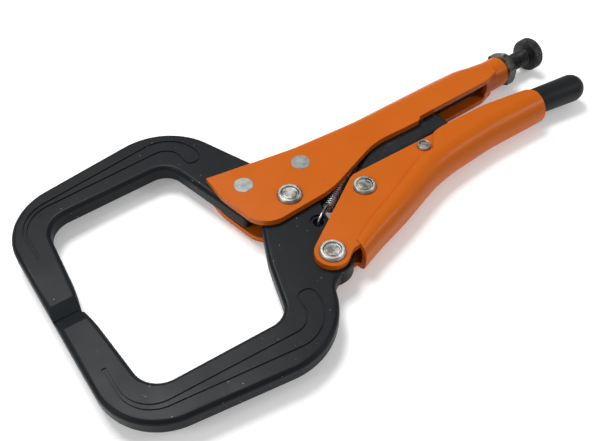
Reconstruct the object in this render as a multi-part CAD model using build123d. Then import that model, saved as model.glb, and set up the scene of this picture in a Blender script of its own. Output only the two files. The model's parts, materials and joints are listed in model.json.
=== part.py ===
"""Locking pliers of the C-clamp pattern: one STEP file for each separate piece.

Millimetres. While the pieces are made, X runs from the jaw tips to the handle ends, Y towards the
fixed jaw, the origin is on the jaw pivot and z = 0 is the middle plane of the tool. At the end every
piece is moved so that the tool lies on z = 0 with the centre of its plan over the origin.
"""

from build123d import *
import math
import os

# ---- sheet steel, jaws and fits ----
SHEET = 2.7
FRONT_GAP = 7.8
JAW_THICK = 7.6
LINK_THICK = 7.4
RUNNING = 0.05
CHEEK_HALF = FRONT_GAP / 2 + SHEET
REAR_HALF = 7.0
GRIP_HALF = 8.6
FAR = 40.0
STATION_STEP = 5.0

# ---- pivots, X and Y from the jaw pivot ----
JAW_PIVOT = (0.0, 0.0)
FRONT_RIVET = (-12.4, 14.8)
REAR_RIVET = (13.7, 12.6)
HANDLE_PIVOT = (-2.6, -32.6)
LINK_PIVOT = (27.3, -12.9)
LEVER_PIVOT = (61.6, -8.7)
SPRING_HOLE = (2.9, -15.7)
SPRING_ANCHOR = (50.0, 15.0)

# ---- rivets: shank radius, head radius, head height ----
BIG_RIVET = (3.6, 5.2, 1.4)
LINK_RIVET = (3.3, 4.8, 1.4)
SMALL_RIVET = (2.1, 3.0, 1.2)
FLUSH_RADIUS = 3.95
FLUSH_PROUD = 0.12
FLUSH_CHAMFER = 0.1

# ---- adjusting screw, on an axis that leans a little towards the spine ----
SCREW_LEAN = 3.0
SCREW_RADIUS = 3.95
TUBE_END = (127.6, 15.1)
TUBE_RADIUS = 6.9
TUBE_BORE = 4.25
NUT_FLATS = 14.0
NUT_LENGTH = 4.8
NUT_CROWN = 0.3
NUT_SEAT = 0.05
TUBE_LENGTH = 18.0
BORE_LENGTH = 40.0
LINK_NOSE_X = 83.0
KNOB_START = 18.0
KNOB_RADIUS = 7.6
KNOB_LENGTH = 5.4

# ---- moving-jaw hub ----
HUB_RADIUS = 11.0
HUB_GAP = 0.4

# ---- half outline of the C frame, from the tip round to the body, for the fixed jaw ----
TIP_Y = 0.15
FRAME_OUTER = [(-101.0, 56.8), (-19.6, 68.0)]
FRAME_OUTER_RADII = [25.5, 29.0]
FRAME_INNER = [(-88.6, 8.0), (-85.7, 44.0), (-31.2, 45.4)]
FRAME_INNER_RADII = [60.0, 10.5, 8.5]
FRAME_EDGE = 1.9


def polygon(points, radii):
    """Face inside a closed polygon whose corners are rounded."""
    return make_face(FilletPolyline(*points, radius=radii, close=True))


def slab(face, low, high):
    """Solid of a plan face between two heights."""
    return Pos(0, 0, low) * extrude(face, amount=high - low, dir=(0, 0, 1))


def pin(centre, radius, half_height):
    """Upright cylinder about the middle plane."""
    return Pos(centre[0], centre[1], 0) * Cylinder(radius, 2 * half_height)


def screw_place(distance):
    """Place on the screw axis, a distance behind the tube's mouth, with local Z along the axis."""
    lean = math.radians(SCREW_LEAN)
    x = TUBE_END[0] + distance * math.cos(lean)
    y = TUBE_END[1] + distance * math.sin(lean)
    return Plane(origin=(x, y, 0), x_dir=(0, 0, 1), z_dir=(math.cos(lean), math.sin(lean), 0)).location


def channel_section(x, low, high, half, low_radius, high_radius):
    """Rounded rectangle across the tool at x, from low to high in Y and half wide in Z."""
    corners = [(low, -half), (high, -half), (high, half), (low, half)]
    outline = [(x, y, z) for y, z in corners]
    radii = [low_radius, high_radius, high_radius, low_radius]
    return make_face(FilletPolyline(*outline, radius=radii, close=True))


def gradient(left, right, column):
    """Rise over run between two stations."""
    return (right[column] - left[column]) / (right[0] - left[0])


def slope(stations, index, column):
    """Slope of the curve at a station: the harmonic mean of both sides, and level where it turns."""
    sides = [gradient(*pair, column) for pair in zip(stations, stations[1:])]
    before = sides[max(index - 1, 0)]
    after = sides[min(index, len(sides) - 1)]
    return 2 * before * after / (before + after) if before * after > 0 else 0.0


def ease(stations, x):
    """Values at x on smooth curves through the stations, each a tuple that starts with its own x."""
    if x <= stations[0][0]:
        return stations[0][1:]
    if x >= stations[-1][0]:
        return stations[-1][1:]
    index = max(i for i, station in enumerate(stations) if station[0] <= x)
    left, right = stations[index], stations[index + 1]
    run = right[0] - left[0]
    share = (x - left[0]) / run
    values = []
    for column in range(1, len(left)):
        rise = right[column] - left[column]
        start = run * slope(stations, index, column)
        end = run * slope(stations, index + 1, column)
        bend = (3 * rise - 2 * start - end) * share**2
        values.append(left[column] + start * share + bend + (start + end - 2 * rise) * share**3)
    return tuple(values)


def channel(stations, start, end):
    """Solid with a channel section at every station and at even steps between, from start to end.

    Each station is x, low Y, high Y, half width, radius of the low corners, radius of the high corners.
    """
    stops = [start, *[station[0] for station in stations if start < station[0] < end], end]
    sections = [channel_section(start, *ease(stations, start))]
    for left, right in zip(stops, stops[1:]):
        straight = ease(stations, left) == ease(stations, right)
        count = 1 if straight else math.ceil((right - left) / STATION_STEP)
        for index in range(count):
            x = left + (right - left) * (index + 1) / count
            sections.append(channel_section(x, *ease(stations, x)))
    return loft(sections, ruled=True)


def ring_rivet(centre, sizes, half_grip):
    """Rivet with a raised ring head, a groove and a centre disc on both sides."""
    shank, head, height = sizes
    top = half_grip + height
    profile = [
        (0, 0),
        (shank, 0),
        (shank, half_grip),
        (head, half_grip),
        (head, half_grip + 0.35 * height),
        (0.87 * head, top),
        (0.70 * head, top),
        (0.64 * head, half_grip + 0.35 * height),
        (0.55 * head, half_grip + 0.35 * height),
        (0.52 * head, half_grip + 0.70 * height),
        (0, half_grip + 0.75 * height),
    ]
    face = make_face(Polyline(*[(r, 0, z) for r, z in profile], close=True))
    upper = revolve(face, axis=Axis.Z)
    whole = upper + mirror(upper, about=Plane.XY)
    return Pos(centre[0], centre[1], 0) * whole


def flush_rivet(centre):
    """Plain rivet ground level with both cheeks."""
    half = CHEEK_HALF + FLUSH_PROUD
    body = Cylinder(FLUSH_RADIUS, 2 * half)
    rims = body.edges().filter_by(GeomType.CIRCLE)
    return Pos(centre[0], centre[1], 0) * chamfer(rims, FLUSH_CHAMFER)


# ---------------------------------------------------------------- upper handle

SPINE = [
    # x, spine Y, half width, radius of the bend
    (-24.5, 26.8, CHEEK_HALF, 0.5),
    (0.0, 23.8, CHEEK_HALF, 1.6),
    (22.0, 22.2, CHEEK_HALF, 3.2),
    (44.0, 22.3, CHEEK_HALF, 5.2),
    (62.0, 23.2, CHEEK_HALF, 6.4),
    (76.0, 23.5, REAR_HALF, 6.8),
    (98.0, 23.9, REAR_HALF, 6.8),
    (105.0, 23.9, REAR_HALF, 6.8),
    (112.0, 22.7, REAR_HALF, 6.85),
    (120.0, 21.7, REAR_HALF, 6.85),
]
SPINE_START = -1.0
SLOT_END = 113.5
CHEEK_OUTLINE = [
    (-22.8, 32.0),
    (-23.0, 15.0),
    (-17.6, -8.7),
    (16.0, -6.7),
    (46.0, 4.8),
    (70.0, 4.4),
    (71.8, 6.1),
    (112.0, 7.4),
    (126.0, 12.0),
    (126.0, 32.0),
]
CHEEK_RADII = [0, 30.0, 11.0, 40.0, 35.0, 1.5, 1.5, 6.0, 0, 0]
LOW = -30.0
HOOK_TAB = 2.4
HOOK_EYE = 1.3


def spine_y(x):
    """Y of the spine's outside at x."""
    return ease(SPINE, x)[0]


def make_upper_handle():
    """Pressed steel body: flat cheeks in front, rounded spine, closed into a tube at the rear."""
    first, last = SPINE[0][0], SPINE[-1][0]
    outer_stations = [(x, LOW, y, half, 1.0, bend) for x, y, half, bend in SPINE]
    inner_stations = [
        (x, LOW - 1, y - SHEET, half - SHEET, 0.5, max(bend - SHEET, 0.4)) for x, y, half, bend in SPINE
    ]
    outside = channel(outer_stations, first, last)
    outside &= slab(polygon(CHEEK_OUTLINE, CHEEK_RADII), -FAR, FAR)
    upright = (Align.CENTER, Align.CENTER, Align.MIN)
    tube = screw_place(-TUBE_LENGTH) * Cylinder(TUBE_RADIUS, TUBE_LENGTH, align=upright)
    inside = channel(inner_stations, SPINE_START, SLOT_END)
    front_gap = Pos(-FAR, -FAR, 0) * Box(
        FAR + SPINE_START, 2 * FAR, FRONT_GAP, align=(Align.MIN, Align.MIN, Align.CENTER)
    )
    bore = screw_place(-BORE_LENGTH) * Cylinder(TUBE_BORE, 2 * BORE_LENGTH, align=upright)
    body = outside + tube - inside - front_gap - bore
    body += make_hook_tab()
    for centre in (FRONT_RIVET, REAR_RIVET):
        body -= pin(centre, FLUSH_RADIUS, FAR)
    return body - pin(JAW_PIVOT, BIG_RIVET[0], FAR)


def make_hook_tab():
    """Tab bent in from the spine that holds the rear end of the spring."""
    x, y = SPRING_ANCHOR
    top = spine_y(x) - SHEET / 2
    plan = polygon([(x - 3.0, y - 3.2), (x + 3.0, y - 3.2), (x + 4.0, top), (x - 4.0, top)], [2.4, 2.4, 0, 0])
    return slab(plan, -HOOK_TAB / 2, HOOK_TAB / 2) - pin((x, y), HOOK_EYE, FAR)


# ---------------------------------------------------------------- jaws

# corners of the fixed jaw's tang, from the throat under the lobe and round to the back of the frame
TANG = [
    (-21.9, 9.5),
    (-20.0, 2.0),
    (-17.0, 2.0),
    (-10.6, 5.2),
    (6.0, 5.5),
    (21.5, 5.5),
    (22.5, 18.4),
    (-1.6, 20.2),
    (-1.8, 27.0),
]
TANG_RADII = [20.0, 1.6, 1.0, 0, 0, 3.0, 2.5, 0, 4.0]
LOBE_RADIUS = 8.4
# corners of the moving jaw from the throat, round the hub and the handle pivot, to the back of the frame
NECK = [
    (-23.6, -20.4),
    (-16.9, -5.6),
    (-9.6, 5.0),
    (6.0, 5.0),
    (11.6, -2.0),
    (7.4, -12.0),
    (5.8, -30.0),
    (-2.6, -40.0),
    (-9.2, -43.4),
]
NECK_RADII = [60.0, 2.0, 0, 0, 0, 30.0, 0, 0, 8.0]
# corners of both sides of the engraved line: out along the back of the arm and home along the throat
GROOVE = [
    (-24.6, 39.2),
    (-17.0, 39.2),
    (-17.0, 61.3),
    (-95.5, 51.8),
    (-95.4, 28.0),
    (-93.5, 28.0),
    (-93.6, 50.0),
    (-25.3, 53.0),
]
GROOVE_RADII = [3.4, 3.4, 15.5, 15.0, 0.4, 0.4, 13.0, 7.0]
GROOVE_ISLAND = [
    (-23.8, 40.0),
    (-17.8, 40.0),
    (-17.8, 60.5),
    (-94.7, 51.1),
    (-94.6, 28.8),
    (-94.3, 28.8),
    (-94.4, 50.8),
    (-24.5, 53.8),
]
ISLAND_RADII = [2.6, 2.6, 14.7, 14.2, 0.1, 0.1, 13.8, 7.8]
GROOVE_DEPTH = 0.45
BEVEL_HALF = 1.6
UPPER_BEVEL = 5.4
LOWER_BEVEL = 6.2
# inner corner that is ground off the moving jaw's tip
TIP_CORNER = [(-91.8, 0.0), (-87.2, -6.0), (-80.0, -6.0), (-80.0, 2.0), (-91.8, 2.0)]
FORGED_X = -24.5


def frame_arm(root, root_radii, side):
    """Plan of half the C frame from its tip to the body, above the middle line for side 1, below for -1."""
    outer = [(-101.0, TIP_Y), *FRAME_OUTER]
    inner = [*FRAME_INNER[::-1], (-90.4, TIP_Y)]
    points = [(x, side * y) for x, y in outer] + root + [(x, side * y) for x, y in inner]
    radii = [0, *FRAME_OUTER_RADII, *root_radii, *FRAME_INNER_RADII[::-1], 0]
    return polygon(points, radii)


def cut_tip(jaw, side, start):
    """Bevel both faces of a jaw's tip down to a blunt edge, from start to the middle line."""
    slope = (JAW_THICK / 2 - BEVEL_HALF) / start
    edge = -3.0
    heights = [(start, JAW_THICK / 2), (edge, BEVEL_HALF + slope * edge), (edge, FAR), (start, FAR)]
    profile = make_face(Polyline(*[(-FAR * 3, side * y, z) for y, z in heights], close=True))
    wedge = extrude(profile, amount=FAR, dir=(1, 0, 0))
    return jaw - wedge - mirror(wedge, about=Plane.XY)


def cut_groove(jaw, side):
    """Engrave the fine line that runs round the arm on both faces."""
    floor = JAW_THICK / 2 - GROOVE_DEPTH
    line = slab(polygon([(x, side * y) for x, y in GROOVE], GROOVE_RADII), floor, JAW_THICK)
    island = polygon([(x, side * y) for x, y in GROOVE_ISLAND], ISLAND_RADII)
    line -= slab(island, floor - 1.0, JAW_THICK + 1.0)
    return jaw - line - mirror(line, about=Plane.XY)


def round_arm(jaw):
    """Roll the edges of the forging where it stands outside the cheeks."""
    levels = jaw.edges().filter_by(Plane.XY).group_by(Axis.Z)
    rims = [edge for edge in levels[0] + levels[-1] if edge.center().X < FORGED_X]
    rims = [edge for edge in rims if abs(edge.center().Y) > 2 * TIP_Y]
    return fillet(rims, FRAME_EDGE)


def make_fixed_jaw():
    """Forged upper half of the C frame with its tang between the cheeks."""
    plan = frame_arm(TANG[::-1], TANG_RADII[::-1], 1) - Circle(HUB_RADIUS + HUB_GAP)
    jaw = slab(plan, -JAW_THICK / 2, JAW_THICK / 2)
    jaw = round_arm(jaw)
    jaw = cut_tip(jaw, 1, UPPER_BEVEL)
    jaw = cut_groove(jaw, 1)
    for centre in (FRONT_RIVET, REAR_RIVET):
        jaw -= pin(centre, FLUSH_RADIUS, FAR)
    return jaw


def make_moving_jaw():
    """Forged lower half of the C frame with its hub on the jaw pivot."""
    arm = frame_arm(NECK[::-1], NECK_RADII[::-1], -1)
    plan = arm + Circle(HUB_RADIUS) + Pos(*HANDLE_PIVOT) * Circle(LOBE_RADIUS)
    jaw = slab(plan, -JAW_THICK / 2, JAW_THICK / 2)
    jaw = round_arm(jaw)
    jaw = cut_tip(jaw, -1, LOWER_BEVEL)
    jaw -= slab(make_face(Polyline(*TIP_CORNER, close=True)), -FAR, FAR)
    jaw = cut_groove(jaw, -1)
    jaw -= pin(JAW_PIVOT, BIG_RIVET[0] + RUNNING, FAR)
    jaw -= pin(HANDLE_PIVOT, BIG_RIVET[0] + RUNNING, FAR)
    jaw -= pin(SPRING_HOLE, HOLE_RADIUS, FAR)
    recess = pin(SPRING_HOLE, RECESS_RADIUS, RECESS_DEPTH)
    return jaw - Pos(0, 0, JAW_THICK / 2) * recess


# ---------------------------------------------------------------- lower handle

GRIP = [
    # x, back Y, crease Y, half width, radius of the back, radius of the crease
    (8.0, -40.0, -33.2, 7.2, 4.8, 1.2),
    (20.0, -36.0, -27.6, 7.8, 6.1, 1.2),
    (35.0, -31.5, -22.3, 8.3, 6.7, 1.2),
    (50.0, -26.5, -15.9, GRIP_HALF, 8.2, 1.2),
    (57.0, -24.2, -13.2, GRIP_HALF, 8.5, 1.4),
    (63.0, -22.8, -12.4, GRIP_HALF, 8.5, 2.2),
    (68.0, -21.9, -5.0, GRIP_HALF, 8.5, 6.0),
    (74.0, -21.2, 0.0, GRIP_HALF, 8.5, 6.4),
    (82.0, -20.6, 2.0, GRIP_HALF, 8.5, 2.0),
    (96.0, -19.6, 2.0, GRIP_HALF, 8.5, 1.4),
    (125.0, -19.6, 2.0, GRIP_HALF, 8.5, 1.4),
]
CREASE_WALL = 1.0
EYE_RADIUS = 6.9
PLATES = [
    (-6.4, -26.8),
    (26.5, -5.2),
    (74.0, -5.2),
    (74.0, -12.0),
    (50.0, -20.0),
    (35.0, -25.6),
    (20.0, -31.0),
    (10.0, -36.0),
    (5.0, -35.5),
    (1.6, -38.1),
]
PLATE_RADII = [0, 8.0, 0, 0, 0, 0, 0, 2.0, 5.0, 0]
GRIP_END = 123.6
GRIP_SIDE = [
    (-15.0, -60.0),
    (-15.0, -32.5),
    (26.5, -5.2),
    (98.0, -5.2),
    (GRIP_END, -8.6),
    (GRIP_END, -20.2),
    (92.0, -60.0),
]
GRIP_SIDE_RADII = [0, 0, 8.0, 30.0, 5.0, 3.0, 0]
HOLLOW = [
    (-30.0, 0.0),
    (-30.0, -50.0),
    (7.9, -50.0),
    (8.0, -35.7),
    (20.0, -30.5),
    (35.0, -25.6),
    (50.0, -20.0),
    (66.0, -15.0),
    (130.0, -12.0),
    (130.0, 0.0),
]


def make_lower_handle():
    """Pressed steel handle: flat cheeks in front that swell into a rounded hollow grip."""
    plates = slab(polygon(PLATES, PLATE_RADII), -CHEEK_HALF, CHEEK_HALF)
    plates += pin(HANDLE_PIVOT, EYE_RADIUS, CHEEK_HALF)
    grip = channel(GRIP, GRIP[0][0], GRIP[-1][0])
    grip &= slab(polygon(GRIP_SIDE, GRIP_SIDE_RADII), -FAR, FAR)
    inner_stations = [
        (
            x,
            back + SHEET,
            crease - min(max(crease_radius - SHEET, CREASE_WALL), SHEET),
            half - SHEET,
            back_radius - SHEET,
            max(crease_radius - SHEET, 0.4),
        )
        for x, back, crease, half, back_radius, crease_radius in GRIP
    ]
    first = (GRIP[0][0] - 1.0, *inner_stations[0][1:])
    inside = channel([first, *inner_stations], first[0], GRIP[-1][0] + 1.0)
    hollow = slab(polygon(HOLLOW, [0] * len(HOLLOW)), -FRONT_GAP / 2, FRONT_GAP / 2)
    handle = plates + grip - inside - hollow
    handle -= pin(HANDLE_PIVOT, BIG_RIVET[0], FAR)
    handle -= pin(LINK_PIVOT, LINK_RIVET[0], FAR)
    return handle - pin(LEVER_PIVOT, SMALL_RIVET[0], FAR)


# ---------------------------------------------------------------- linkage

LINK_EYE = 7.0
LINK = [
    (23.3, -7.2),
    (45.0, 7.2),
    (74.0, 16.0),
    (LINK_NOSE_X, 16.0),
    (LINK_NOSE_X, -2.7),
    (50.0, -4.0),
    (31.5, -18.5),
]
LINK_RADII = [0, 8.0, 6.0, 2.5, 2.5, 12.0, 0]
LINK_EDGE = 2.5
LEVER_WALL = 1.8
LEVER_EYE = 4.4
LEVER = [(61.6, -4.3), (118.0, -7.5), (118.0, -14.5), (85.0, -13.0), (61.6, -13.1)]
LEVER_HOLLOW = [(50.0, -6.1), (62.0, -6.1), (112.0, -9.2), (112.0, -25.0), (50.0, -25.0)]
TAIL = [(117.0, -7.45), (145.5, -10.4), (145.5, -15.0), (117.0, -12.9)]
SLEEVE_START = (117.0, -9.3)
SLEEVE_END = (152.5, -13.5)
SLEEVE_RADII = (5.8, 6.3)
SLEEVE_CHAMFER = 0.6


def make_toggle_link():
    """Solid link between the lower handle and the tip of the adjusting screw."""
    plan = polygon(LINK, LINK_RADII) + Pos(*LINK_PIVOT) * Circle(LINK_EYE)
    link = slab(plan, -LINK_THICK / 2, LINK_THICK / 2)
    levels = link.edges().filter_by(Plane.XY).group_by(Axis.Z)
    lower = [e for e in levels[0] + levels[-1] if e.center().Y < -2.0 and 33.0 < e.center().X < 81.0]
    link = fillet(lower, LINK_EDGE)
    return link - pin(LINK_PIVOT, LINK_RIVET[0] + RUNNING, FAR)


def make_release_lever():
    """Bent channel with an eye in front and a solid tail."""
    plan = make_face(Polyline(*LEVER, close=True)) + Pos(*LEVER_PIVOT) * Circle(LEVER_EYE)
    lever = slab(plan, -LINK_THICK / 2, LINK_THICK / 2)
    inner = LINK_THICK / 2 - LEVER_WALL
    lever -= slab(make_face(Polyline(*LEVER_HOLLOW, close=True)), -inner, inner)
    lever += slab(make_face(Polyline(*TAIL, close=True)), -LINK_THICK / 2, LINK_THICK / 2)
    return lever - pin(LEVER_PIVOT, SMALL_RIVET[0] + RUNNING, FAR)


def make_lever_tip_sleeve():
    """Soft sleeve with a round end on the tail of the release lever."""
    run = SLEEVE_END[0] - SLEEVE_START[0]
    drop = SLEEVE_END[1] - SLEEVE_START[1]
    length = math.hypot(run, drop)
    front, rear = SLEEVE_RADII
    shoulder = length - rear
    axis = Plane(origin=(*SLEEVE_START, 0), x_dir=(0, 0, 1), z_dir=(run, drop, 0))
    lip = front - SLEEVE_CHAMFER
    side = Line((0, 0), (lip, 0)) + Line((lip, 0), (front, SLEEVE_CHAMFER))
    side += Line((front, SLEEVE_CHAMFER), (rear, shoulder))
    side += RadiusArc((rear, shoulder), (0, length), -rear)
    side += Line((0, length), (0, 0))
    body = revolve(make_face(Plane.XZ * side), axis=Axis.Z)
    return axis.location * body - make_release_lever()


# ---------------------------------------------------------------- adjusting screw

SCREW_START = -41.2
SCREW_CHAMFER = 0.9
KNOB_CHAMFER = 0.6
KNOB_FLOOR = 1.4
KNOB_FIT = 0.05


def make_adjusting_screw():
    """Shank of the adjusting screw, from the link's nose into the knob."""
    length = KNOB_START + KNOB_LENGTH - KNOB_FLOOR - SCREW_START
    shank = Cylinder(SCREW_RADIUS, length, align=(Align.CENTER, Align.CENTER, Align.MIN))
    shank = chamfer(shank.edges().filter_by(GeomType.CIRCLE).sort_by(Axis.Z)[0], SCREW_CHAMFER)
    return screw_place(SCREW_START) * shank


def make_screw_knob():
    """Round head pressed on the rear end of the adjusting screw."""
    knob = Cylinder(KNOB_RADIUS, KNOB_LENGTH, align=(Align.CENTER, Align.CENTER, Align.MIN))
    knob = chamfer(knob.edges().filter_by(GeomType.CIRCLE), KNOB_CHAMFER)
    depth = KNOB_LENGTH - KNOB_FLOOR + KNOB_FIT
    knob -= Cylinder(SCREW_RADIUS + KNOB_FIT, depth, align=(Align.CENTER, Align.CENTER, Align.MIN))
    return screw_place(KNOB_START) * knob


def make_end_nut():
    """Hexagon nut fixed to the mouth of the tube."""
    nut = extrude(RegularPolygon(NUT_FLATS / 2, 6, major_radius=False), NUT_LENGTH)
    base, top = NUT_FLATS / 2 + NUT_LENGTH, NUT_FLATS / 2 + NUT_CROWN
    nut &= Cone(base, top, NUT_LENGTH, align=(Align.CENTER, Align.CENTER, Align.MIN))
    nut -= Cylinder(SCREW_RADIUS + KNOB_FIT, 3 * NUT_LENGTH)
    return screw_place(NUT_SEAT) * nut


# ---------------------------------------------------------------- return spring

COIL_RADIUS = 2.9
WIRE = 0.5
COIL_START = 10.5
COIL_END = 45.5
HOLE_RADIUS = 2.2
RECESS_RADIUS = 3.4
RECESS_DEPTH = 0.8


def spring_place(distance):
    """Place on the spring's axis, a distance from the jaw's hole, with local Z along the axis."""
    run = SPRING_ANCHOR[0] - SPRING_HOLE[0]
    rise = SPRING_ANCHOR[1] - SPRING_HOLE[1]
    span = math.hypot(run, rise)
    x = SPRING_HOLE[0] + distance * run / span
    y = SPRING_HOLE[1] + distance * rise / span
    return Plane(origin=(x, y, 0), x_dir=(0, 0, 1), z_dir=(run, rise, 0)).location


def make_return_spring():
    """Tension spring: the coil as a plain tube, with a wire hook at each end."""
    span = math.dist(SPRING_HOLE, SPRING_ANCHOR)
    coil = Cylinder(COIL_RADIUS, COIL_END - COIL_START, align=(Align.CENTER, Align.CENTER, Align.MIN))
    coil -= Cylinder(COIL_RADIUS - 2 * WIRE, 2 * FAR, align=(Align.CENTER, Align.CENTER, Align.CENTER))
    spring = spring_place(COIL_START) * coil
    over = JAW_THICK / 2 + WIRE + 0.1
    mean = COIL_RADIUS - WIRE
    front = [
        (mean, COIL_START + 0.5),
        (over, COIL_START - 2.0),
        (over, -0.3),
        (-JAW_THICK / 2 - 0.6, -0.3),
    ]
    rear = [(mean, COIL_END - 0.5), (mean, span + 0.3), (-mean, span + 0.3)]
    for height_and_distance in (front, rear):
        path = [(height, 0, distance) for height, distance in height_and_distance]
        wire = FilletPolyline(*path, radius=1.0)
        rod = sweep(Plane(origin=wire @ 0, z_dir=wire % 0) * Circle(WIRE), path=wire)
        spring += spring_place(0) * rod
    return spring


def make_parts():
    """Every piece by node name, about the jaw pivot."""
    return {
        "upper_handle": make_upper_handle(),
        "fixed_jaw": make_fixed_jaw(),
        "moving_jaw": make_moving_jaw(),
        "jaw_pivot_rivet": ring_rivet(JAW_PIVOT, BIG_RIVET, CHEEK_HALF),
        "front_jaw_rivet": flush_rivet(FRONT_RIVET),
        "rear_jaw_rivet": flush_rivet(REAR_RIVET),
        "lower_handle": make_lower_handle(),
        "handle_pivot_rivet": ring_rivet(HANDLE_PIVOT, BIG_RIVET, CHEEK_HALF),
        "toggle_link": make_toggle_link(),
        "link_pivot_rivet": ring_rivet(LINK_PIVOT, LINK_RIVET, CHEEK_HALF),
        "release_lever": make_release_lever(),
        "lever_tip_sleeve": make_lever_tip_sleeve(),
        "lever_pivot_rivet": ring_rivet(LEVER_PIVOT, SMALL_RIVET, CHEEK_HALF),
        "adjusting_screw": make_adjusting_screw(),
        "screw_knob": make_screw_knob(),
        "end_nut": make_end_nut(),
        "return_spring": make_return_spring(),
    }


def standing_shift(parts):
    """Move that puts the centre of the plan over the origin and the lowest face on z = 0."""
    boxes = [body.bounding_box() for body in parts.values()]
    middle_x = (min(box.min.X for box in boxes) + max(box.max.X for box in boxes)) / 2
    middle_y = (min(box.min.Y for box in boxes) + max(box.max.Y for box in boxes)) / 2
    return Pos(-middle_x, -middle_y, -min(box.min.Z for box in boxes))


def write_parts():
    """Write every piece as STEP in the shared frame."""
    os.makedirs("parts", exist_ok=True)
    parts = make_parts()
    shift = standing_shift(parts)
    print("moved by", shift.position)
    for name, body in parts.items():
        export_step(shift * body, f"parts/{name}.step")


write_parts()
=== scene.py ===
import json
import math

import bmesh
import bpy
from mathutils import Matrix, Vector


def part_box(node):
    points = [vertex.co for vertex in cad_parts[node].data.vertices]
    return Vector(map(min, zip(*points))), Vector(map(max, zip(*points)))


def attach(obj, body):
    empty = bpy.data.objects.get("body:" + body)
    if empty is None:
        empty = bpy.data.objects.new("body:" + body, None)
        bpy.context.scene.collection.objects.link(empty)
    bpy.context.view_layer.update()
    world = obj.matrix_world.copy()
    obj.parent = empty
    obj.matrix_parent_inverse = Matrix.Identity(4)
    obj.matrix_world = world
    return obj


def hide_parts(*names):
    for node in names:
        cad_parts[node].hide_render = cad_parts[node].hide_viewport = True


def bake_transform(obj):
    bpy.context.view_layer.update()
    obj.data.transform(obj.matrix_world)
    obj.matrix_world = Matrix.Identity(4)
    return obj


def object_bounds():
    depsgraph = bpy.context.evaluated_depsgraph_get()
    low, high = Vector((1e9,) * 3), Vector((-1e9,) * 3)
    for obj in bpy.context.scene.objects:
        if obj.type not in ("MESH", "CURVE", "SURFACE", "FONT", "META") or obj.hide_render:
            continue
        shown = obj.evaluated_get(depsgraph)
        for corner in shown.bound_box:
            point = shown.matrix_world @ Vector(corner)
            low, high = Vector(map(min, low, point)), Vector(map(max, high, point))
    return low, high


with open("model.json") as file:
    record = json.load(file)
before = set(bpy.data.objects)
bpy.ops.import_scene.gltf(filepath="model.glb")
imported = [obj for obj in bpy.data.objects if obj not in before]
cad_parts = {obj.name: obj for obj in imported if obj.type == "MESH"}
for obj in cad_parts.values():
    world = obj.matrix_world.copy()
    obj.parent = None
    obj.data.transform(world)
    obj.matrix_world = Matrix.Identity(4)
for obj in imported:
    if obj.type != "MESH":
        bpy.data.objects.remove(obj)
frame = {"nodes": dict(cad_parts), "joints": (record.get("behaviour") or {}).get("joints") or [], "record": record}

MM = 0.001
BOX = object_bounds()

# ---- camera: point looked at and distance in mm, angles in degrees ----
CAMERA_TARGET = (-29.97, -13.37, 15.2)
CAMERA_AZIMUTH = -34.3
CAMERA_ELEVATION = 49.7
CAMERA_DISTANCE = 308.0
CAMERA_LENS = 48.0
SENSOR_WIDTH = 36.0


# ---------------------------------------------------------------- where things are


def centre(node):
    """Middle of a CAD node's box."""
    low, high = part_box(node)
    return (low + high) / 2


def joint(name):
    """Entry of the record's joint list."""
    return next(j for j in frame["joints"] if j["name"] == name)


def body_of(node):
    """Name of the body that holds a CAD node."""
    bodies = frame["record"]["behaviour"]["bodies"]
    return next(name for name, nodes in bodies.items() if node in nodes)


def slot_of(node):
    """Name of the record's material slot of a CAD node."""
    return next(s["material_slot"] for s in frame["record"]["subparts"] if s["node"] == node)


def along(axis):
    """Matrix that turns local Z to an axis, with local X upright."""
    z = Vector(axis).normalized()
    x = Vector((0, 0, 1))
    return Matrix((x, z.cross(x), z)).transposed().to_4x4()


MID_Z = centre("fixed_jaw").z
SCREW_AXIS = Vector(joint("screw_feed")["axis"])
SCREW_MOUTH = Vector(joint("screw_feed")["pos_m"])


# ---------------------------------------------------------------- node helpers


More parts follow.
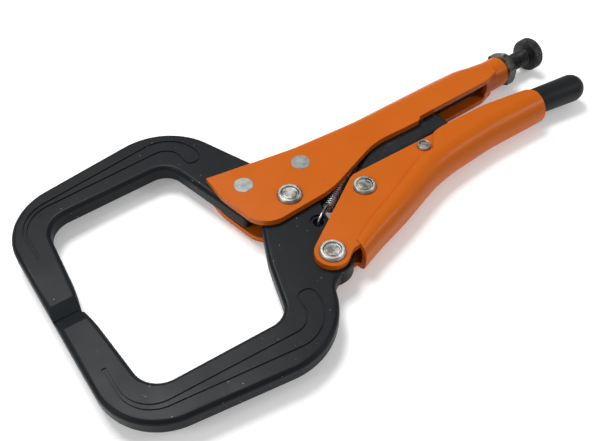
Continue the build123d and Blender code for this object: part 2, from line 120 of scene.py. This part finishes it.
class Nodes:
    """A material's node tree, with short calls for the nodes used here."""

    def __init__(self, name):
        self.material = bpy.data.materials.new(name)
        self.material.use_nodes = True
        self.tree = self.material.node_tree
        self.shader = self.tree.nodes["Principled BSDF"]
        self.coords = self.add("ShaderNodeTexCoord").outputs["Object"]

    def add(self, kind, **settings):
        node = self.tree.nodes.new(kind)
        for key, value in settings.items():
            setattr(node, key, value)
        return node

    def link(self, source, target):
        self.tree.links.new(source, target)

    def noise(self, scale, detail=2.0, roughness=0.5, stretch=None):
        node = self.add("ShaderNodeTexNoise")
        node.inputs["Scale"].default_value = scale
        node.inputs["Detail"].default_value = detail
        node.inputs["Roughness"].default_value = roughness
        self.link(self.stretched(stretch), node.inputs["Vector"])
        return node.outputs["Fac"]

    def cells(self, scale):
        node = self.add("ShaderNodeTexVoronoi")
        node.inputs["Scale"].default_value = scale
        self.link(self.coords, node.inputs["Vector"])
        return node.outputs["Distance"]

    def stretched(self, stretch):
        if stretch is None:
            return self.coords
        node = self.add("ShaderNodeMapping")
        node.inputs["Scale"].default_value = stretch
        self.link(self.coords, node.inputs["Vector"])
        return node.outputs["Vector"]

    def ramp(self, source, low, high, start=0.0, end=1.0):
        node = self.add("ShaderNodeMapRange")
        node.inputs["From Min"].default_value = low
        node.inputs["From Max"].default_value = high
        node.inputs["To Min"].default_value = start
        node.inputs["To Max"].default_value = end
        self.link(source, node.inputs["Value"])
        return node.outputs["Result"]

    def mix(self, factor, first, second):
        node = self.add("ShaderNodeMix", data_type="RGBA")
        self.link(factor, node.inputs["Factor"])
        for value, socket in ((first, node.inputs[6]), (second, node.inputs[7])):
            if isinstance(value, tuple):
                socket.default_value = (*value, 1.0)
            else:
                self.link(value, socket)
        return node.outputs[2]

    def times(self, first, second):
        node = self.add("ShaderNodeMath", operation="MULTIPLY")
        for value, socket in ((first, node.inputs[0]), (second, node.inputs[1])):
            if isinstance(value, float):
                socket.default_value = value
            else:
                self.link(value, socket)
        return node.outputs[0]

    def bump(self, height, distance, strength=1.0, under=None):
        node = self.add("ShaderNodeBump")
        node.inputs["Distance"].default_value = distance
        node.inputs["Strength"].default_value = strength
        self.link(height, node.inputs["Height"])
        if under is not None:
            self.link(under, node.inputs["Normal"])
        return node.outputs["Normal"]

    def edges(self, low, high):
        """1 on outside edges of the mesh, 0 on flat and hollow places."""
        pointiness = self.add("ShaderNodeNewGeometry").outputs["Pointiness"]
        return self.ramp(pointiness, low, high)

    def surface(self, colour, roughness, normal, metallic=0.0, coat=0.0, coat_roughness=0.1, specular=0.5):
        inputs = self.shader.inputs
        self.link(colour, inputs["Base Color"])
        self.link(roughness, inputs["Roughness"])
        self.link(normal, inputs["Normal"])
        inputs["Metallic"].default_value = metallic
        inputs["Coat Weight"].default_value = coat
        inputs["Coat Roughness"].default_value = coat_roughness
        inputs["Specular IOR Level"].default_value = specular
        return self.material


# ---------------------------------------------------------------- materials


def orange_enamel():
    """Thick enamel over pressed steel: slight orange peel and a few dark specks."""
    n = Nodes("orange_enamel")
    clouds = n.noise(60, 3)
    colour = n.mix(clouds, (0.455, 0.092, 0.004), (0.50, 0.107, 0.006))
    specks = n.ramp(n.cells(420), 0.10, 0.05)
    colour = n.mix(n.times(specks, n.ramp(n.noise(90, 1), 0.60, 0.66)), colour, (0.12, 0.03, 0.01))
    peel = n.bump(n.noise(650, 2), 0.00006, 0.5)
    waves = n.bump(n.noise(90, 1), 0.00020, 0.35, peel)
    roughness = n.ramp(clouds, 0.3, 0.7, 0.30, 0.40)
    return n.surface(colour, roughness, waves, coat=0.05, coat_roughness=0.05, specular=0.10)


def black_enamel():
    """Satin black on a forging: soft lumps, fine grit and a few bright specks."""
    n = Nodes("black_enamel")
    lumps = n.noise(45, 3)
    base = n.mix(lumps, (0.0055, 0.0070, 0.0085), (0.0105, 0.0130, 0.0155))
    specks = n.times(n.ramp(n.cells(520), 0.12, 0.06), n.ramp(n.noise(150, 1), 0.58, 0.62))
    colour = n.mix(specks, base, (0.26, 0.27, 0.28))
    grit = n.bump(n.noise(1500, 3, 0.6), 0.00005, 0.55)
    forged = n.bump(n.noise(110, 3), 0.00035, 0.35, grit)
    roughness = n.ramp(lumps, 0.3, 0.7, 0.34, 0.50)
    return n.surface(colour, roughness, forged, coat=0.02, coat_roughness=0.20, specular=0.10)


def bare_steel(name, light, dark, low, high):
    """Bare steel with fine scratches, darker in patches."""
    n = Nodes(name)
    patches = n.noise(260, 4, 0.6)
    scratches = n.noise(900, 3, 0.6, (1.0, 14.0, 1.0))
    colour = n.mix(n.ramp(patches, 0.35, 0.65), dark, light)
    colour = n.mix(n.ramp(scratches, 0.55, 0.75, 0.0, 0.5), colour, dark)
    normal = n.bump(scratches, 0.00003, 0.5)
    normal = n.bump(patches, 0.00012, 0.4, normal)
    return n.surface(colour, n.ramp(patches, 0.3, 0.7, low, high), normal, metallic=0.9)


def pivot_steel():
    """Ring-headed rivets: bright metal with dark patches."""
    return bare_steel("pivot_steel", (0.52, 0.52, 0.49), (0.15, 0.14, 0.125), 0.30, 0.46)


def ground_steel():
    """Flush rivets: dull grey metal."""
    return bare_steel("ground_steel", (0.32, 0.33, 0.31), (0.16, 0.16, 0.155), 0.45, 0.62)


def spring_wire():
    """Bright drawn wire."""
    return bare_steel("spring_wire", (0.62, 0.63, 0.64), (0.25, 0.26, 0.27), 0.22, 0.32)


def dark_link_steel():
    """Blackened link and lever with a slight grey sheen."""
    n = Nodes("dark_link_steel")
    patches = n.noise(120, 4, 0.6)
    base = n.mix(patches, (0.007, 0.008, 0.010), (0.018, 0.020, 0.024))
    worn = n.times(n.edges(0.53, 0.62), n.ramp(n.noise(300, 3), 0.45, 0.65))
    colour = n.mix(worn, base, (0.20, 0.20, 0.21))
    normal = n.bump(n.noise(1400, 3, 0.6), 0.00005, 0.5)
    return n.surface(colour, n.ramp(patches, 0.3, 0.7, 0.34, 0.46), normal, metallic=0.15, specular=0.22)


def black_oxide():
    """Black oxide on turned steel: oily, bright on thread crests and knurl tips."""
    n = Nodes("black_oxide")
    patches = n.noise(240, 4, 0.6)
    base = n.mix(patches, (0.009, 0.009, 0.010), (0.024, 0.024, 0.024))
    worn = n.times(n.edges(0.52, 0.60), n.ramp(n.noise(420, 3), 0.45, 0.65))
    colour = n.mix(worn, base, (0.13, 0.13, 0.13))
    normal = n.bump(n.noise(1200, 3, 0.6), 0.00006, 0.5)
    return n.surface(colour, n.ramp(patches, 0.3, 0.7, 0.30, 0.44), normal, metallic=0.3, specular=0.3)


def nut_oxide():
    """Dull olive-grey plated nut."""
    n = Nodes("nut_oxide")
    patches = n.noise(420, 4, 0.65)
    base = n.mix(n.ramp(patches, 0.35, 0.65), (0.014, 0.013, 0.010), (0.036, 0.033, 0.027))
    worn = n.times(n.edges(0.53, 0.62), n.ramp(n.noise(420, 3), 0.40, 0.60))
    colour = n.mix(worn, base, (0.26, 0.25, 0.22))
    normal = n.bump(n.noise(1100, 3, 0.6), 0.00008, 0.6)
    return n.surface(colour, n.ramp(patches, 0.3, 0.7, 0.36, 0.52), normal, metallic=0.5, specular=0.3)


def soft_sleeve():
    """Matte black dipped sleeve with a very fine grain."""
    n = Nodes("soft_sleeve")
    clouds = n.noise(70, 2)
    colour = n.mix(clouds, (0.0060, 0.0075, 0.0085), (0.011, 0.0130, 0.0145))
    normal = n.bump(n.noise(1800, 2), 0.00004, 0.6)
    normal = n.bump(n.noise(160, 2), 0.00015, 0.25, normal)
    return n.surface(colour, n.ramp(clouds, 0.3, 0.7, 0.42, 0.54), normal, specular=0.15)


MATERIALS = {
    "orange_enamel": orange_enamel(),
    "black_enamel": black_enamel(),
    "pivot_steel": pivot_steel(),
    "ground_steel": ground_steel(),
    "dark_link_steel": dark_link_steel(),
    "soft_sleeve": soft_sleeve(),
    "black_oxide": black_oxide(),
    "spring_wire": spring_wire(),
}
NUT_MATERIAL = nut_oxide()


# ---------------------------------------------------------------- mesh helpers


def place(obj, node, material=None):
    """Let a piece stand for a CAD node: same body, the material of its slot or the one given."""
    obj.data.materials.clear()
    obj.data.materials.append(material or MATERIALS[slot_of(node)])
    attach(obj, body_of(node))
    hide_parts(node)


def new_object(name, bm):
    """Object in the scene from a bmesh."""
    mesh = bpy.data.meshes.new(name)
    bm.to_mesh(mesh)
    bm.free()
    obj = bpy.data.objects.new(name, mesh)
    bpy.context.scene.collection.objects.link(obj)
    return obj


def apply_modifiers(obj):
    """Bake an object's modifiers into its mesh."""
    graph = bpy.context.evaluated_depsgraph_get()
    mesh = bpy.data.meshes.new_from_object(obj.evaluated_get(graph), depsgraph=graph)
    obj.modifiers.clear()
    obj.data = mesh


def shade(obj, degrees):
    """Smooth shading that keeps edges sharper than an angle."""
    obj.data.shade_smooth()
    obj.data.set_sharp_from_angle(angle=math.radians(degrees))


WELD_DISTANCE = 0.002 * MM
FLAT_ANGLE = 1.0
BEVEL_ANGLE = 38.0
SHARP_ANGLE = 40.0
FLAT_WEIGHT = 80


def welded(node):
    """Bmesh of a CAD node with its patches joined and its flat parts merged."""
    bm = bmesh.new()
    bm.from_mesh(frame["nodes"][node].data)
    bmesh.ops.remove_doubles(bm, verts=bm.verts, dist=WELD_DISTANCE)
    bmesh.ops.dissolve_degenerate(bm, edges=bm.edges, dist=WELD_DISTANCE)
    bmesh.ops.dissolve_limit(bm, angle_limit=math.radians(FLAT_ANGLE), verts=bm.verts, edges=bm.edges)
    return bm


def dressed(node, name, bevel, material=None):
    """Copy of a CAD node with its edges rolled by a bevel in mm, in place of the node."""
    obj = new_object(name, welded(node))
    roll = obj.modifiers.new("roll", "BEVEL")
    roll.width = bevel * MM
    roll.segments = 2
    roll.limit_method = "ANGLE"
    roll.angle_limit = math.radians(BEVEL_ANGLE)
    roll.use_clamp_overlap = True
    apply_modifiers(obj)
    shade(obj, SHARP_ANGLE)
    flatten = obj.modifiers.new("flatten", "WEIGHTED_NORMAL")
    flatten.keep_sharp = True
    flatten.weight = FLAT_WEIGHT
    apply_modifiers(obj)
    place(obj, node, material)


DRESSED_NODES = (
    ("upper_handle", "body_shell", 0.30),
    ("lower_handle", "grip_shell", 0.30),
    ("fixed_jaw", "fixed_c_jaw", 0.12),
    ("moving_jaw", "moving_c_jaw", 0.12),
    ("toggle_link", "toggle_bar", 0.20),
    ("release_lever", "lever_channel", 0.25),
    ("lever_tip_sleeve", "lever_sleeve", 0.20),
    ("front_jaw_rivet", "flush_rivet_front", 0.06),
    ("rear_jaw_rivet", "flush_rivet_rear", 0.06),
    ("jaw_pivot_rivet", "rivet_jaw", 0.12),
    ("handle_pivot_rivet", "rivet_handle", 0.12),
    ("link_pivot_rivet", "rivet_link", 0.12),
    ("lever_pivot_rivet", "rivet_lever", 0.08),
)
for node, name, bevel in DRESSED_NODES:
    dressed(node, name, bevel)
dressed("end_nut", "tube_nut", 0.15, material=NUT_MATERIAL)


# ---------------------------------------------------------------- threaded screw, knob and spring


def skin(bm, rings):
    """Closed skin over rings of vertices that have the same count."""
    around = len(rings[0])
    for a, b in zip(rings, rings[1:]):
        for k in range(around):
            m = (k + 1) % around
            bm.faces.new((a[k], a[m], b[m], b[k]))
    bm.faces.new(rings[0][::-1])
    bm.faces.new(rings[-1])


THREAD_PITCH = 1.25 * MM
THREAD_DEPTH = 0.62 * MM
THREAD_RUN_OUT = 0.9 * MM
THREAD_SIDES = 28
STEPS_PER_PITCH = 8
THREAD_SHARP_ANGLE = 50.0
# parts of the thread's rise from root to crest where its flank starts, and how much of it the flank takes
FLANK_START = 0.12
FLANK_SHARE = 0.72
SCREW_END_ROOM = 0.4 * MM


def make_screw():
    """Screw shank with a real helical thread, crests at the CAD radius."""
    low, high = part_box("adjusting_screw")
    corners = [Vector(c) - SCREW_MOUTH for c in (low, high)]
    start = corners[0].dot(SCREW_AXIS) + SCREW_END_ROOM
    end = corners[1].dot(SCREW_AXIS) - SCREW_END_ROOM
    radius = (high.z - low.z) / 2
    steps = int((end - start) / THREAD_PITCH * STEPS_PER_PITCH)
    bm = bmesh.new()
    rings = []
    for i in range(steps + 1):
        z = start + (end - start) * i / steps
        ring = []
        for k in range(THREAD_SIDES):
            turn = k / THREAD_SIDES
            phase = (z / THREAD_PITCH - turn) % 1.0
            height = 1.0 - abs(2.0 * phase - 1.0)
            crest = min(1.0, max(0.0, (height - FLANK_START) / FLANK_SHARE))
            taper = min(1.0, (z - start) / THREAD_RUN_OUT, (end - z) / THREAD_RUN_OUT)
            r = radius - THREAD_DEPTH * (1.0 - crest * max(taper, 0.0))
            ring.append(bm.verts.new((r * math.cos(math.tau * turn), r * math.sin(math.tau * turn), z)))
        rings.append(ring)
    skin(bm, rings)
    obj = new_object("threaded_shank", bm)
    obj.data.transform(Matrix.Translation(SCREW_MOUTH) @ along(SCREW_AXIS))
    shade(obj, THREAD_SHARP_ANGLE)
    place(obj, "adjusting_screw")


def lathe(bm, profile, around, knurl):
    """Turned solid from a profile of (radius, z); knurl gives the depth cut at a step and a corner."""
    rings = []
    for index, (r, z) in enumerate(profile):
        ring = []
        for k in range(around):
            turn = math.tau * k / around
            cut = r - knurl(index, k)
            ring.append(bm.verts.new((cut * math.cos(turn), cut * math.sin(turn), z)))
        rings.append(ring)
    skin(bm, rings)


KNOB_HALF = 2.66 * MM
KNOB_SHARP_ANGLE = 32.0
KNOB_TEETH = 44
CORNERS_PER_TOOTH = 4
KNURL_DEPTH = 0.34 * MM
# steps of the knob's profile that carry the full knurl, and those where it runs out
KNURLED_STEPS = (6, 7)
RUN_OUT_STEPS = (5, 8)


def make_knob():
    """Screw head with a straight knurl on its rim and a low boss towards the nut."""
    low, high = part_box("screw_knob")
    radius = (high.z - low.z) / 2 - 0.02 * MM
    middle = (centre("screw_knob") - SCREW_MOUTH).dot(SCREW_AXIS)
    z0, z1 = middle - KNOB_HALF, middle + KNOB_HALF
    profile = [
        (4.05 * MM, z0 + 0.02 * MM),
        (5.00 * MM, z0 + 0.02 * MM),
        (5.15 * MM, z0 + 0.10 * MM),
        (5.20 * MM, z0 + 0.42 * MM),
        (6.70 * MM, z0 + 0.46 * MM),
        (radius - 0.30 * MM, z0 + 0.62 * MM),
        (radius, z0 + 0.95 * MM),
        (radius, z1 - 0.60 * MM),
        (radius - 0.35 * MM, z1 - 0.15 * MM),
        (radius - 0.80 * MM, z1),
        (5.60 * MM, z1),
        (5.20 * MM, z1 - 0.20 * MM),
        (1.00 * MM, z1 - 0.22 * MM),
    ]

    def knurl(index, k):
        if index in RUN_OUT_STEPS:
            return KNURL_DEPTH * 0.5
        if index in KNURLED_STEPS:
            return KNURL_DEPTH * (0.0, 0.5, 1.0, 0.5)[k % CORNERS_PER_TOOTH]
        return 0.0

    bm = bmesh.new()
    lathe(bm, profile, KNOB_TEETH * CORNERS_PER_TOOTH, knurl)
    obj = new_object("knurled_knob", bm)
    obj.data.transform(Matrix.Translation(SCREW_MOUTH) @ along(SCREW_AXIS))
    shade(obj, KNOB_SHARP_ANGLE)
    place(obj, "screw_knob")


# from a corner of the spring's box to the middle of its hook
HOOK_INSET = Vector((0.75, 0.65, 0)) * MM
WIRE = 0.5 * MM
COIL_MEAN = 2.4 * MM
COIL_PITCH = 1.12 * MM
COIL_FRONT = 10.6 * MM
COIL_REAR = 10.8 * MM
CORNERS_PER_TURN = 16
WIRE_SHARP_ANGLE = 60.0


def spring_path(span, lift):
    """Points along the wire: front hook standing lift off the axis, coil, and rear hook at span."""
    points = [
        Vector((-(lift - 0.2 * MM), 0, 0)),
        Vector((0, 0, -0.1 * MM)),
        Vector((lift - 0.9 * MM, 0, 0)),
        Vector((lift, 0, 0.9 * MM)),
        Vector((lift, 0, COIL_FRONT - 3.0 * MM)),
    ]
    coil_length = span - COIL_REAR - COIL_FRONT
    count = int(coil_length / COIL_PITCH) * CORNERS_PER_TURN
    for i in range(count + 1):
        a = math.tau * i / CORNERS_PER_TURN
        z = COIL_FRONT + coil_length * i / count
        points.append(Vector((COIL_MEAN * math.cos(a), COIL_MEAN * math.sin(a), z)))
    points += [
        Vector((COIL_MEAN, 0, span - 2.0 * MM)),
        Vector((COIL_MEAN * 0.9, 0, span - 0.2 * MM)),
        Vector((0, 0, span + 0.3 * MM)),
        Vector((-COIL_MEAN, 0, span)),
    ]
    return points


def wire_mesh(points, radius):
    """Mesh of a round wire along points."""
    curve = bpy.data.curves.new("return_coil", "CURVE")
    curve.dimensions = "3D"
    curve.bevel_depth = radius
    curve.bevel_resolution = 2
    curve.use_fill_caps = True
    spline = curve.splines.new("POLY")
    spline.points.add(len(points) - 1)
    for target, point in zip(spline.points, points):
        target.co = (*point, 1.0)
    obj = bpy.data.objects.new("coil_curve", curve)
    bpy.context.scene.collection.objects.link(obj)
    graph = bpy.context.evaluated_depsgraph_get()
    mesh = bpy.data.meshes.new_from_object(obj.evaluated_get(graph))
    bpy.data.objects.remove(obj)
    return mesh


def make_spring():
    """Close-wound tension spring: hook round the jaw's hole, coil, hook through the tab."""
    low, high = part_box("return_spring")
    jaw_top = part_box("moving_jaw")[1].z
    hole = Vector((low.x, low.y, MID_Z)) + HOOK_INSET
    tail = Vector((high.x, high.y, MID_Z)) - HOOK_INSET
    direction = (tail - hole).normalized()
    placing = Matrix.Translation(hole) @ along(direction)
    lift = jaw_top - MID_Z + WIRE + 0.1 * MM
    points = [placing @ point for point in spring_path((tail - hole).length, lift)]
    piece = bpy.data.objects.new("coil_spring", wire_mesh(points, 0.98 * WIRE))
    bpy.context.scene.collection.objects.link(piece)
    shade(piece, WIRE_SHARP_ANGLE)
    piece.data.materials.clear()
    piece.data.materials.append(MATERIALS["spring_wire"])
    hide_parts("return_spring")
    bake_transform(piece)


make_screw()
make_knob()
make_spring()


# ---------------------------------------------------------------- floor, light and camera


def make_floor():
    """White floor just under the tool."""
    bm = bmesh.new()
    bmesh.ops.create_grid(bm, x_segments=2, y_segments=2, size=6.0)
    floor = new_object("floor", bm)
    floor.location = (0, 0, BOX[0][2] - 0.02 * MM)
    n = Nodes("floor_paper")
    colour = n.mix(n.noise(4, 2), (0.90, 0.90, 0.90), (0.93, 0.93, 0.93))
    rough = n.ramp(n.noise(40, 2), 0.3, 0.7, 0.80, 0.95)
    normal = n.bump(n.noise(300, 2), 0.00002, 0.2)
    n.shader.inputs["Emission Color"].default_value = (1, 1, 1, 1)
    n.shader.inputs["Emission Strength"].default_value = 0.22
    floor.data.materials.append(n.surface(colour, rough, normal, specular=0.2))


def soft_light(name, where, aim, size, power):
    """Square white area light aimed at a point; places and size in metres, power in watts."""
    light = bpy.data.lights.new(name, "AREA")
    light.shape = "SQUARE"
    light.size = size
    light.energy = power
    obj = bpy.data.objects.new(name, light)
    obj.location = where
    obj.rotation_euler = (Vector(aim) - Vector(where)).to_track_quat("-Z", "Y").to_euler()
    bpy.context.scene.collection.objects.link(obj)


def make_light():
    """White room with one large soft light above and behind the tool and two weak side lights."""
    world = bpy.data.worlds.new("studio")
    world.use_nodes = True
    world.node_tree.nodes["Background"].inputs["Color"].default_value = (1, 1, 1, 1)
    world.node_tree.nodes["Background"].inputs["Strength"].default_value = 0.38
    bpy.context.scene.world = world
    soft_light("overhead", (-0.05, 0.40, 0.85), (0, 0, 0), 0.35, 7.4)
    soft_light("left", (-0.80, 0.05, 0.50), (0, 0, 0), 0.25, 1.5)
    soft_light("right", (0.60, -0.50, 0.55), (0.05, 0, 0), 0.25, 1.5)


def make_camera():
    """Camera above and in front of the tool, on the jaw side."""
    camera = bpy.data.cameras.new("camera")
    camera.sensor_width = SENSOR_WIDTH
    camera.lens = CAMERA_LENS
    obj = bpy.data.objects.new("camera", camera)
    target = Vector(CAMERA_TARGET) * MM
    azimuth, elevation = math.radians(CAMERA_AZIMUTH), math.radians(CAMERA_ELEVATION)
    direction = Vector((
        math.sin(azimuth) * math.cos(elevation),
        -math.cos(azimuth) * math.cos(elevation),
        math.sin(elevation),
    ))
    obj.location = target + direction * CAMERA_DISTANCE * MM
    obj.rotation_euler = (-direction).to_track_quat("-Z", "Y").to_euler()
    bpy.context.scene.collection.objects.link(obj)
    bpy.context.scene.camera = obj


make_floor()
make_light()
make_camera()
bpy.context.scene.view_settings.view_transform = "Standard"


def corners(box):
    """A box as plain lists of numbers."""
    return [list(map(float, corner)) for corner in box]
